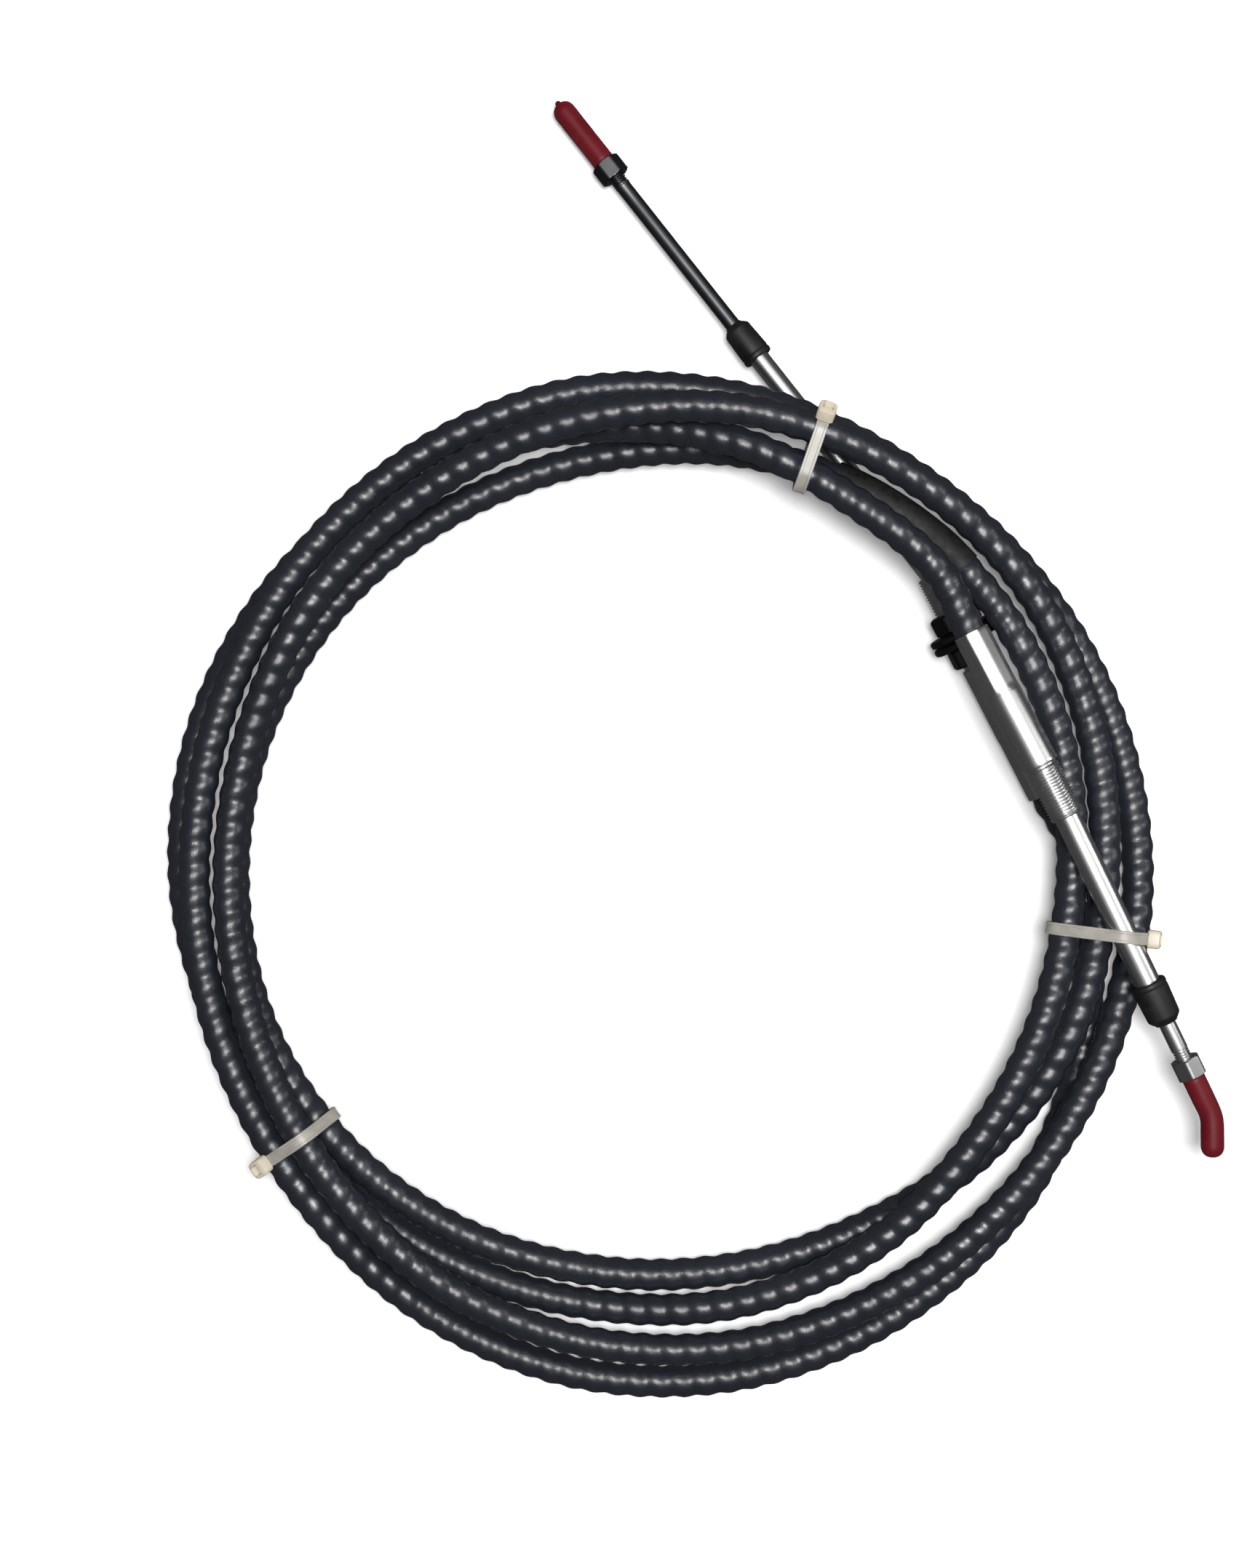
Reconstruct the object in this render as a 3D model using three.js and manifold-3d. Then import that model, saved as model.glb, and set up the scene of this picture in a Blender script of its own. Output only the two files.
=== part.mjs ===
// A boat steering cable: a ribbed jacket wound into four loose turns, tied in three places.
// Each end has a crimped hub with a thread, a swivel tube, a rubber seal and a sliding rod.
// Millimetres, +Z up. The coil lies flat, and the origin is under the middle of the whole cable.
import * as THREE from 'three';
import { mergeVertices } from 'three/addons/utils/BufferGeometryUtils.js';
import Module from 'manifold-3d';

const wasm = await Module();
wasm.setup();

// Clearances
const GAP = 0.3; // between pieces that touch or slide
const LOOSE = 0.5; // between a tie and the turns that it holds

// Cable jacket
const JACKET_RADIUS = 7.6;
const JACKET_SIDES = 12;
const JACKET_STEPS = 144;
const CRIMP_DEPTH = 30; // length of jacket held inside each hub

// Black sleeve on the second turn, from one step of the jacket to another
const SLEEVE_FIRST_STEP = 37;
const SLEEVE_LAST_STEP = 39;
const SLEEVE_WALL = 0.7;

// Hubs
const BARREL_RADIUS = 8.6;
const CRIMP_RADIUS = 8.45;
const CRIMP_FLAT = 8.15; // from the axis to each crimped flat
const CRIMP_FLATS = 8;
const CRIMP_FLAT_LENGTH = 29;
const CUT_PAST = 1; // how far a cut reaches past the end that it starts from
const CRIMP_LENGTH = 32;
const CRIMP_SLOPE = 1;
const BODY_LENGTH = 68.5; // crimp and barrel together
const THREAD_RADIUS = 8;
const THREAD_CHAMFER = 0.9;
const CORE_BORE = 3.2;
const SOCKET_RADIUS = 6.5;
const SOCKET_DEPTH = 16;
const WRENCH_FLAT = 8.1; // from the axis to each of the two wrench flats
const WRENCH_START = 49;
const WRENCH_LENGTH = 15;
const ROUND_SIDES = 24;

// Swivel ball inside the hub's socket
const BALL_RADIUS = 6.2;
const BALL_HALF = 3;
const BALL_RIM = 1;
const SWIVEL_DEPTH = 6; // from the hub's outer face in to the ball's centre

// Rod ends
const NUT_ACROSS_FLATS = 13;
const NUT_LENGTH = 9.2;
const ROD_THREAD_RADIUS = 3.9;
const ROD_CHAMFER = 1;
const THREAD_SHOWING = 5; // rod thread on the inner side of the nut
const ROD_IN_CAP = 16;
const STROKE = 68;
const HELD_IN_TUBE = 12; // rod left in the tube at full stroke

// Rubber seals
const SEAL_NOSE = 6; // rubber past the end of the tube
const SEAL_NOSE_ROUNDING = [[0, 3], [0.8, 2.5], [2.7, 0.7]]; // back from the tip, in from the side
const SEAL_GROOVE_AT = 2.1;
const SEAL_GROOVE_WIDTH = 1.4;
const SEAL_GROOVE_DEPTH = 0.6;
const SEAL_GROOVE_SLOPE = 0.3;

// Soft caps
const CAP_ROUNDING = [[0, 3.4], [0.9, 1.5], [2.6, 0.3], [5, 0]]; // back from the tip, in from the side
const CAP_BEND_LENGTH = 8; // length of the bend, which starts at the rod's tip
const CAP_BEND_STEPS = 4;

// Bulkhead nuts and washers on the second end
const BULKHEAD_FLATS = 21;
const BULKHEAD_NUT_LENGTH = 9.1;
const BULKHEAD_NUT_AT = 19.2; // from the hub's outer face
const WASHER_RADIUS = 16.2;
const WASHER_THICKNESS = 3.4;
const WASHER_EDGE = 0.5;
const WASHER_SIDES = 32;
const WASHER_SPACE = 0.6; // between the two washers, where a panel is clamped

// Ties
const STRAP_WIDTH = 5.7;
const STRAP_THICKNESS = 1.3;
const HEAD_LENGTH = 9;
const HEAD_WIDTH = 8.4;
const HEAD_HEIGHT = 6;
const HEAD_SINK = 0.9;

// The two ends. mouth is where the jacket enters the hub. Headings and pitches are in degrees,
// and wrenchTurn is the turn of the wrench flats from the top of the hub.
const END_A = {
  letter: 'a', mouth: [141.2, 117, 45], heading: -62.4, pitch: 0.8, threadLength: 26.5,
  wrenchTurn: 60,
  tubeHeading: -63.9, tubePitch: -2, tubeLength: 84.8, tubeRadius: 6,
  sealRadius: 8.4, sealLength: 20.5, rodRadius: 3.95, rodFree: 18.4, travelled: 0,
  capRadius: 5.3, capLength: 39, capBend: 25, capNib: 0,
};
const END_B = {
  letter: 'b', mouth: [181.3, 43.2, 10.3], heading: 117.6, pitch: 3, threadLength: 47.6,
  wrenchTurn: 0,
  tubeHeading: 128, tubePitch: -2, tubeLength: 130.6, tubeRadius: 4.8,
  sealRadius: 7.2, sealLength: 19.7, rodRadius: 3.6, rodFree: 89.5, travelled: STROKE,
  capRadius: 5.3, capLength: 35, capBend: 0, capNib: 1.6,
};

// The coil's turns: radius and height of the jacket's middle, every 20 degrees from +X.
// The first turn starts at 60 degrees, because before that the cable is straight into its hub.
const TURN_STEP = 20;
const FIRST_ANGLE = 60;
const TURNS = [
  [195.5, 48.5], [207, 43.5], [216.5, 24.5], [225.5, 9], [229, 7.6], [229, 7.6], [225, 7.6], [217, 7.6],
  [209, 7.6], [204, 7.6], [201, 7.8], [199, 16], [194.5, 23], [188, 30], [187, 31.5],
  [190, 29], [197, 27], [202, 33], [205.5, 29.5], [206, 21], [203.5, 9], [202.5, 7.6], [203, 7.6],
  [203, 7.6], [201.5, 7.6], [199.5, 7.6], [193.5, 15], [188, 15], [185, 7.6], [184.5, 7.6],
  [188, 7.6], [196, 13.5], [202.5, 23],
  [206, 24.5], [213.5, 22], [219.5, 30.5], [220.5, 43], [220.5, 53], [217, 49.5], [213, 37],
  [209, 32], [204, 24.5], [201.5, 24], [201, 30.5], [205, 29.5], [212, 22], [217, 15],
  [218.5, 17], [218, 20], [218.5, 24], [220.5, 22.5],
  [224.5, 12], [226.5, 7.6], [226.5, 7.6], [225, 24], [230, 27], [232, 32], [229.5, 26],
  [225, 24], [220.5, 23.5], [217.5, 23.5], [217, 23.8], [220, 20], [229, 7.6], [234, 7.6],
  [234.5, 7.6], [231, 7.6], [225, 7.6], [213, 7.6],
];
const LEAD_LENGTH = 32; // straight jacket outside each hub
const MOUTH_BACK = 2;

// The ties: angle round the coil, and the side of the bundle that holds the head
const TIES = [
  { name: 'tie_top', angle: 71, headTowards: 62 },
  { name: 'tie_right', angle: -6, headTowards: 40 },
  { name: 'tie_left', angle: 215, headTowards: 30 },
];

const paint = (color, roughness, metalness) =>
  new THREE.MeshStandardMaterial({ color, roughness, metalness });
const JACKET_PAINT = paint(0x2b2e37, 0.45, 0);
const SLEEVE_PAINT = paint(0x101012, 0.7, 0);
const STEEL_PAINT = paint(0xc8c8ca, 0.18, 1);
const ZINC_PAINT = paint(0x6d6e70, 0.45, 1);
const RUBBER_PAINT = paint(0x141414, 0.6, 0);
const CAP_PAINT = paint(0xb3161b, 0.35, 0);
const NYLON_PAINT = paint(0xe9e2cf, 0.5, 0);

const radians = THREE.MathUtils.degToRad;

function node(name, geometry, material) {
  const mesh = new THREE.Mesh(geometry, material);
  mesh.name = name;
  return mesh;
}

// Closed mesh with merged corners, ready to be joined or cut
function toSolid(geometry) {
  const bare = geometry.clone();
  bare.deleteAttribute('normal');
  bare.deleteAttribute('uv');
  const merged = mergeVertices(bare, 1e-4);
  return new wasm.Manifold(new wasm.Mesh({
    numProp: 3,
    vertProperties: new Float32Array(merged.attributes.position.array),
    triVerts: new Uint32Array(merged.index.array),
  }));
}

function fromSolid(solid) {
  const mesh = solid.getMesh();
  const geometry = new THREE.BufferGeometry();
  geometry.setAttribute('position', new THREE.BufferAttribute(mesh.vertProperties, 3));
  geometry.setIndex(new THREE.BufferAttribute(mesh.triVerts, 1));
  geometry.computeVertexNormals();
  return geometry;
}

// A piece turned about +X. The profile is a closed loop of [x, radius] pairs, or it starts
// and ends on the axis. Its outer side runs towards -X.
function turned(profile, sides = ROUND_SIDES) {
  const points = profile.map(([x, radius]) => new THREE.Vector2(radius, x)).reverse();
  const onAxis = profile[0][1] === 0;
  if (!onAxis) points.push(points[0].clone());
  return new THREE.LatheGeometry(points, sides).rotateZ(-Math.PI / 2);
}

// A hexagon with a round hole, from x = 0 to x = length along +X
function hexNut(acrossFlats, holeRadius, length) {
  const corner = acrossFlats / 2 / Math.cos(radians(30));
  const outline = new THREE.Shape();
  for (let i = 0; i < 6; i += 1) {
    const angle = radians(60 * i);
    const point = [corner * Math.cos(angle), corner * Math.sin(angle)];
    if (i === 0) outline.moveTo(...point);
    else outline.lineTo(...point);
  }
  const hole = new THREE.Path().absarc(0, 0, holeRadius, 0, 2 * Math.PI, true);
  outline.holes.push(hole);
  const settings = { depth: length, bevelEnabled: false, curveSegments: ROUND_SIDES };
  return new THREE.ExtrudeGeometry(outline, settings).rotateY(Math.PI / 2);
}

function unitVector(heading, pitch) {
  return new THREE.Vector3(
    Math.cos(radians(pitch)) * Math.cos(radians(heading)),
    Math.cos(radians(pitch)) * Math.sin(radians(heading)),
    Math.sin(radians(pitch)),
  );
}

// A group whose +X points along a heading and a pitch
function aimed(position, heading, pitch) {
  const group = new THREE.Group();
  group.position.copy(position);
  group.rotation.set(0, -radians(pitch), radians(heading), 'ZYX');
  return group;
}

function mouthOf(end) {
  return new THREE.Vector3(...end.mouth);
}

function hubLength(end) {
  return BODY_LENGTH + end.threadLength;
}

function swivelCentre(end) {
  const outward = unitVector(end.heading, end.pitch);
  return mouthOf(end).addScaledVector(outward, hubLength(end) - SWIVEL_DEPTH);
}

// The middle line of the jacket, from inside one hub to inside the other
class CableRoute extends THREE.Curve {
  constructor() {
    super();
    this.arcLengthDivisions = 1500;
    const atEnd = (end, outwards) =>
      mouthOf(end).addScaledVector(unitVector(end.heading, end.pitch), outwards);
    const turnPoint = ([radius, height], i) => {
      const angle = radians(FIRST_ANGLE + TURN_STEP * i);
      return new THREE.Vector3(radius * Math.cos(angle), radius * Math.sin(angle), height);
    };
    this.curve = new THREE.CatmullRomCurve3([
      atEnd(END_A, CRIMP_DEPTH),
      atEnd(END_A, -MOUTH_BACK),
      atEnd(END_A, -LEAD_LENGTH),
      ...TURNS.map(turnPoint),
      atEnd(END_B, -LEAD_LENGTH),
      atEnd(END_B, -MOUTH_BACK),
      atEnd(END_B, CRIMP_DEPTH),
    ]);
  }

  getPoint(t, target = new THREE.Vector3()) {
    this.curve.getPoint(t, target);
    target.z = Math.max(target.z, JACKET_RADIUS);
    return target;
  }
}

// Part of the route, between two steps of the jacket
class RouteStretch extends THREE.Curve {
  constructor(route, firstStep, lastStep) {
    super();
    this.route = route;
    this.from = firstStep / JACKET_STEPS;
    this.to = lastStep / JACKET_STEPS;
  }

  getPoint(t, target = new THREE.Vector3()) {
    return this.route.getPointAt(this.from + (this.to - this.from) * t, target);
  }
}

function polygon(radius, sides, PathClass) {
  const path = new PathClass();
  for (let i = 0; i < sides; i += 1) {
    const angle = (2 * Math.PI * i) / sides;
    const point = [radius * Math.cos(angle), radius * Math.sin(angle)];
    if (i === 0) path.moveTo(...point);
    else path.lineTo(...point);
  }
  path.closePath();
  return path;
}

function cableJacket(route) {
  const section = polygon(JACKET_RADIUS, JACKET_SIDES, THREE.Shape);
  const settings = { steps: JACKET_STEPS, bevelEnabled: false, extrudePath: route };
  return new THREE.ExtrudeGeometry(section, settings);
}

function blackSleeve(route) {
  const inner = JACKET_RADIUS + GAP;
  const section = polygon(inner + SLEEVE_WALL, JACKET_SIDES, THREE.Shape);
  section.holes.push(polygon(inner, JACKET_SIDES, THREE.Path));
  const stretch = new RouteStretch(route, SLEEVE_FIRST_STEP, SLEEVE_LAST_STEP);
  const steps = SLEEVE_LAST_STEP - SLEEVE_FIRST_STEP;
  return new THREE.ExtrudeGeometry(section, { steps, bevelEnabled: false, extrudePath: stretch });
}

// Crimped sleeve, barrel and thread, turned and crimped from one bar, with its mouth at x = 0
function crimpedHub(end) {
  const jacketBore = JACKET_RADIUS + GAP;
  const length = hubLength(end);
  const blank = turned([
    [0, jacketBore],
    [CRIMP_DEPTH + GAP, jacketBore],
    [CRIMP_DEPTH + GAP, CORE_BORE],
    [length - SOCKET_DEPTH, CORE_BORE],
    [length - SOCKET_DEPTH, SOCKET_RADIUS],
    [length, SOCKET_RADIUS],
    [length, THREAD_RADIUS - THREAD_CHAMFER],
    [length - THREAD_CHAMFER, THREAD_RADIUS],
    [BODY_LENGTH, THREAD_RADIUS],
    [BODY_LENGTH, BARREL_RADIUS],
    [CRIMP_LENGTH, BARREL_RADIUS],
    [CRIMP_LENGTH - CRIMP_SLOPE, CRIMP_RADIUS],
    [0, CRIMP_RADIUS],
  ]);
  let hub = toSolid(blank);
  const cutFlat = (start, flatLength, fromAxis, angle) => {
    const block = new THREE.BoxGeometry(flatLength, BARREL_RADIUS * 2, BARREL_RADIUS);
    block.translate(start + flatLength / 2, 0, fromAxis + BARREL_RADIUS / 2);
    block.rotateX(angle);
    hub = hub.subtract(toSolid(block));
  };
  for (let i = 0; i < CRIMP_FLATS; i += 1) {
    const angle = (2 * Math.PI * i) / CRIMP_FLATS;
    cutFlat(-CUT_PAST, CUT_PAST + CRIMP_FLAT_LENGTH, CRIMP_FLAT, angle);
  }
  for (const angle of [-end.wrenchTurn, 180 - end.wrenchTurn]) {
    cutFlat(WRENCH_START, WRENCH_LENGTH, WRENCH_FLAT, radians(angle));
  }
  return fromSolid(hub);
}

// Lengths along the swivel tube's axis, counted from the ball's centre
function along(end) {
  const sealStart = SWIVEL_DEPTH + end.tubeLength;
  const sealEnd = sealStart + end.sealLength;
  const nutStart = sealEnd + end.rodFree;
  const capStart = nutStart + NUT_LENGTH + GAP;
  return { sealStart, sealEnd, nutStart, capStart };
}

function swivelTube(end) {
  const { sealEnd } = along(end);
  const bore = end.rodRadius + GAP;
  const tubeEnd = sealEnd - SEAL_NOSE - GAP;
  return turned([
    [-BALL_HALF, bore],
    [tubeEnd, bore],
    [tubeEnd, end.tubeRadius],
    [BALL_HALF, end.tubeRadius],
    [BALL_HALF / 2, BALL_RADIUS],
    [-BALL_HALF / 2, BALL_RADIUS],
    [-BALL_HALF, bore + BALL_RIM],
  ]);
}

// Rubber wiper pushed over the end of the tube, closed round the rod
function rodSeal(end) {
  const { sealStart, sealEnd } = along(end);
  const seat = sealEnd - SEAL_NOSE;
  const tubeBore = end.tubeRadius + GAP;
  const side = end.sealRadius;
  const groove = sealStart + SEAL_GROOVE_AT;
  const grooveEnd = groove + SEAL_GROOVE_WIDTH;
  return turned([
    [sealStart, tubeBore],
    [seat, tubeBore],
    [seat, end.rodRadius + GAP],
    [sealEnd, end.rodRadius + GAP],
    ...SEAL_NOSE_ROUNDING.map(([back, inwards]) => [sealEnd - back, side - inwards]),
    [grooveEnd, side],
    [grooveEnd - SEAL_GROOVE_SLOPE, side - SEAL_GROOVE_DEPTH],
    [groove + SEAL_GROOVE_SLOPE, side - SEAL_GROOVE_DEPTH],
    [groove, side],
    [sealStart, side],
  ]);
}

// Plain rod with a smaller end that carries the nut and sits in the cap
function pushRod(end) {
  const { sealEnd, nutStart, capStart } = along(end);
  const inside = HELD_IN_TUBE + STROKE - end.travelled;
  const tip = capStart + ROD_IN_CAP;
  const threadStart = nutStart - THREAD_SHOWING;
  return turned([
    [tip, 0],
    [tip, ROD_THREAD_RADIUS - ROD_CHAMFER],
    [tip - ROD_CHAMFER, ROD_THREAD_RADIUS],
    [threadStart, ROD_THREAD_RADIUS],
    [threadStart, end.rodRadius],
    [sealEnd - inside, end.rodRadius],
    [sealEnd - inside, 0],
  ]);
}

// Soft cap over the rod's tip, straight or bent to one side
function endCap(end) {
  const start = along(end).capStart;
  const bore = ROD_THREAD_RADIUS + GAP;
  const floor = start + ROD_IN_CAP + GAP;
  const tip = start + end.capLength;
  const side = end.capRadius;
  const bendRings = Array.from({ length: CAP_BEND_STEPS + 1 }, (_, i) =>
    [floor + (CAP_BEND_LENGTH * (CAP_BEND_STEPS - i)) / CAP_BEND_STEPS, side]);
  const cap = turned([
    [tip + end.capNib, 0],
    ...CAP_ROUNDING.map(([back, inwards]) => [tip - back, side - inwards]),
    ...(end.capBend > 0 ? bendRings : []),
    [start, side],
    [start, bore],
    [floor, bore],
    [floor, 0],
  ]);
  return end.capBend > 0 ? bent(cap, floor, CAP_BEND_LENGTH, radians(end.capBend)) : cap;
}

// Bends what lies past x = from towards -Y, in an arc of that length and angle
function bent(geometry, from, arcLength, angle) {
  const position = geometry.attributes.position;
  const arcRadius = arcLength / angle;
  for (let i = 0; i < position.count; i += 1) {
    const past = position.getX(i) - from;
    if (past <= 0) continue;
    const turn = angle * Math.min(1, past / arcLength);
    const beyond = Math.max(0, past - arcLength);
    const y = position.getY(i);
    const x = from + arcRadius * Math.sin(turn) + (beyond * Math.cos(turn) + y * Math.sin(turn));
    position.setX(i, x);
    position.setY(i, y * Math.cos(turn) - arcRadius * (1 - Math.cos(turn)) - beyond * Math.sin(turn));
  }
  geometry.computeVertexNormals();
  return geometry;
}

function rodNut(end) {
  const nut = hexNut(NUT_ACROSS_FLATS, ROD_THREAD_RADIUS + GAP, NUT_LENGTH);
  return nut.translate(along(end).nutStart, 0, 0);
}

function cableEnd(end) {
  const group = new THREE.Group();
  const hub = aimed(mouthOf(end), end.heading, end.pitch);
  hub.add(node(`crimped_hub_${end.letter}`, crimpedHub(end), STEEL_PAINT));
  const swivel = aimed(swivelCentre(end), end.tubeHeading, end.tubePitch);
  swivel.add(node(`swivel_tube_${end.letter}`, swivelTube(end), STEEL_PAINT));
  swivel.add(node(`rod_seal_${end.letter}`, rodSeal(end), RUBBER_PAINT));
  swivel.add(node(`push_rod_${end.letter}`, pushRod(end), STEEL_PAINT));
  swivel.add(node(`rod_nut_${end.letter}`, rodNut(end), ZINC_PAINT));
  swivel.add(node(`end_cap_${end.letter}`, endCap(end), CAP_PAINT));
  group.add(hub, swivel);
  return group;
}

// Two nuts with two washers between them, on the thread of the second hub
function bulkheadFasteners() {
  const group = aimed(mouthOf(END_B), END_B.heading, END_B.pitch);
  const outerFace = hubLength(END_B);
  const hole = THREAD_RADIUS + GAP;
  let x = outerFace - BULKHEAD_NUT_AT;
  const place = (name, geometry, length, space) => {
    x -= length;
    group.add(node(name, geometry.translate(x, 0, 0), ZINC_PAINT));
    x -= space;
  };
  const nut = () => hexNut(BULKHEAD_FLATS, hole, BULKHEAD_NUT_LENGTH);
  const washer = () => turned([
    [0, hole],
    [WASHER_THICKNESS, hole],
    [WASHER_THICKNESS, WASHER_RADIUS - WASHER_EDGE],
    [WASHER_THICKNESS - WASHER_EDGE, WASHER_RADIUS],
    [WASHER_EDGE, WASHER_RADIUS],
    [0, WASHER_RADIUS - WASHER_EDGE],
  ], WASHER_SIDES);
  place('bulkhead_nut_outer', nut(), BULKHEAD_NUT_LENGTH, GAP);
  place('bulkhead_washer_outer', washer(), WASHER_THICKNESS, WASHER_SPACE);
  place('bulkhead_washer_inner', washer(), WASHER_THICKNESS, GAP);
  place('bulkhead_nut_inner', nut(), BULKHEAD_NUT_LENGTH, 0);
  return group;
}

// Where a line of points passes the upright half plane at an angle: the ellipse of its section
function sectionsAt(points, radius, angle) {
  const outward = new THREE.Vector3(Math.cos(angle), Math.sin(angle), 0);
  const round = new THREE.Vector3(-Math.sin(angle), Math.cos(angle), 0);
  const sections = [];
  for (let i = 1; i < points.length; i += 1) {
    const before = points[i - 1].dot(round);
    const after = points[i].dot(round);
    if (before * after > 0 || points[i].dot(outward) < 0) continue;
    const point = points[i - 1].clone().lerp(points[i], before / (before - after));
    const run = points[i].clone().sub(points[i - 1]).normalize();
    const straight = Math.abs(run.dot(round));
    const aside = Math.abs(run.dot(outward)) / straight;
    const climb = Math.abs(run.z) / straight;
    sections.push({
      across: point.dot(outward),
      height: point.z,
      halfWidth: radius * Math.hypot(1, aside) + (STRAP_WIDTH / 2) * aside,
      halfHeight: radius * Math.hypot(1, climb) + (STRAP_WIDTH / 2) * climb,
    });
  }
  return sections;
}

// The tight outline round a set of ellipses, grown by a margin
function tightOutline(sections, margin) {
  const cloud = [];
  for (const s of sections) {
    for (let i = 0; i < ROUND_SIDES; i += 1) {
      const turn = (2 * Math.PI * i) / ROUND_SIDES;
      cloud.push(new THREE.Vector2(
        s.across + (s.halfWidth + margin) * Math.cos(turn),
        s.height + (s.halfHeight + margin) * Math.sin(turn),
      ));
    }
  }
  cloud.sort((p, q) => p.x - q.x || p.y - q.y);
  const halfHull = (points) => {
    const hull = [];
    for (const p of points) {
      while (hull.length > 1) {
        const [a, b] = hull.slice(-2);
        if ((b.x - a.x) * (p.y - a.y) - (b.y - a.y) * (p.x - a.x) > 1e-3) break;
        hull.pop();
      }
      hull.push(p);
    }
    return hull.slice(0, -1);
  };
  return [...halfHull(cloud), ...halfHull([...cloud].reverse())];
}

// A nylon tie round everything that passes its angle: a closed strap with a head on it
function cableTie(tie, lines) {
  const angle = radians(tie.angle);
  const sections = lines.flatMap(([points, radius]) => sectionsAt(points, radius, angle));
  const inner = tightOutline(sections, LOOSE);
  const outer = tightOutline(sections, LOOSE + STRAP_THICKNESS);
  const strap = new THREE.Shape(outer);
  strap.holes.push(new THREE.Path(inner));
  const loop = new THREE.ExtrudeGeometry(strap, { depth: STRAP_WIDTH, bevelEnabled: false });
  loop.translate(0, 0, -STRAP_WIDTH / 2);

  const middle = new THREE.Vector2();
  outer.forEach((p) => middle.addScaledVector(p, 1 / outer.length));
  const aim = radians(tie.headTowards);
  const direction = new THREE.Vector2(Math.cos(aim), Math.sin(aim));
  const seat = seatTowards(outer, middle, direction);
  const head = new THREE.BoxGeometry(HEAD_LENGTH, HEAD_HEIGHT, HEAD_WIDTH);
  head.translate(0, HEAD_HEIGHT / 2 - HEAD_SINK, 0);
  head.rotateZ(seat.slope).translate(seat.point.x, seat.point.y, 0);

  const whole = fromSolid(toSolid(loop).add(toSolid(head)));
  whole.rotateX(Math.PI / 2);
  const mesh = node(tie.name, whole, NYLON_PAINT);
  mesh.rotation.z = angle;
  return mesh;
}

// The edge of an outline that a ray from its middle meets: its middle point and its slope
function seatTowards(outline, middle, direction) {
  let best = null;
  outline.forEach((p, i) => {
    const q = outline[(i + 1) % outline.length];
    const point = p.clone().add(q).multiplyScalar(0.5);
    const off = Math.abs(point.clone().sub(middle).cross(direction));
    const ahead = point.clone().sub(middle).dot(direction) > 0;
    if (ahead && (best === null || off < best.off)) {
      best = { off, point, slope: Math.atan2(p.y - q.y, p.x - q.x) };
    }
  });
  return best;
}

function steeringCable() {
  const cable = new THREE.Group();
  const route = new CableRoute();
  cable.add(node('cable_jacket', cableJacket(route), JACKET_PAINT));
  cable.add(node('black_sleeve', blackSleeve(route), SLEEVE_PAINT));
  cable.add(cableEnd(END_A), cableEnd(END_B), bulkheadFasteners());

  const tubeLine = (end) => {
    const start = swivelCentre(end);
    const run = unitVector(end.tubeHeading, end.tubePitch);
    return [start, start.clone().addScaledVector(run, along(end).sealStart)];
  };
  const jacketLine = route.getSpacedPoints(JACKET_STEPS);
  const lines = [
    [jacketLine, JACKET_RADIUS],
    [tubeLine(END_A), END_A.tubeRadius],
    [tubeLine(END_B), END_B.tubeRadius],
  ];
  TIES.forEach((tie) => cable.add(cableTie(tie, lines)));

  // The origin goes under the middle of the cable, at the level that it lies on
  const box = new THREE.Box3().setFromObject(cable, true);
  const middle = box.getCenter(new THREE.Vector3());
  cable.position.set(-middle.x, -middle.y, -box.min.z);
  return cable;
}

const part = new THREE.Group();
part.add(steeringCable());
export default part;
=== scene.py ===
import math

import bpy
import numpy as np
from mathutils import Matrix, Vector


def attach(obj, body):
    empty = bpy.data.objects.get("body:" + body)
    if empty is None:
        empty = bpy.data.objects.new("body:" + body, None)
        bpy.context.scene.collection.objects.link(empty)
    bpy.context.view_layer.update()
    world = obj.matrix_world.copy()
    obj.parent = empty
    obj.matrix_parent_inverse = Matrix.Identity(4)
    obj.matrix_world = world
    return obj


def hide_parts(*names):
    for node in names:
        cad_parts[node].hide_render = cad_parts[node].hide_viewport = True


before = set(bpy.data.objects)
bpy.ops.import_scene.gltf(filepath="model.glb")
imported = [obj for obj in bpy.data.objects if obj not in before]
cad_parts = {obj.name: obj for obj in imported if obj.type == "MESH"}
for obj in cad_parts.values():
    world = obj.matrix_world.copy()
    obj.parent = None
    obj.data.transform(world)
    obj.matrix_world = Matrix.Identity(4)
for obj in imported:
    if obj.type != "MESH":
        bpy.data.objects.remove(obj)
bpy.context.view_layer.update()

# Finished look of a coiled push-pull steering cable. Sizes below are in millimetres.
MM = 0.001

# Camera, looking straight down with +Y up the picture
CAMERA_AT = (-0.028207, -0.016929, 1.1518)
CAMERA_HEIGHT_ANGLE = 35.94

# Middle of the coil, from the frame's origin
COIL_AT = (-12.567, -64.529, 1.8)

# Jacket
JACKET_RADIUS = 7.6
RIB_PITCH = 10.5
RIB_HEIGHT = 0.82
JACKET_SIDES = 20
RINGS_PER_RIB = 9
CRIMP_DEPTH = 30
LEAD_LENGTH = 32
MOUTH_BACK = 2
JACKET_STEPS = 144
SLEEVE_STEPS = (37, 39)
SLEEVE_RADIUS = 8.28
SLEEVE_SWELL = 0.12
SLEEVE_LUMP = 0.05
SLEEVE_INNER_RADIUS = 7.72
SLEEVE_RINGS = 60
SLEEVE_SIDES = 36
RIB_SHARPNESS = 0.8

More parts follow.
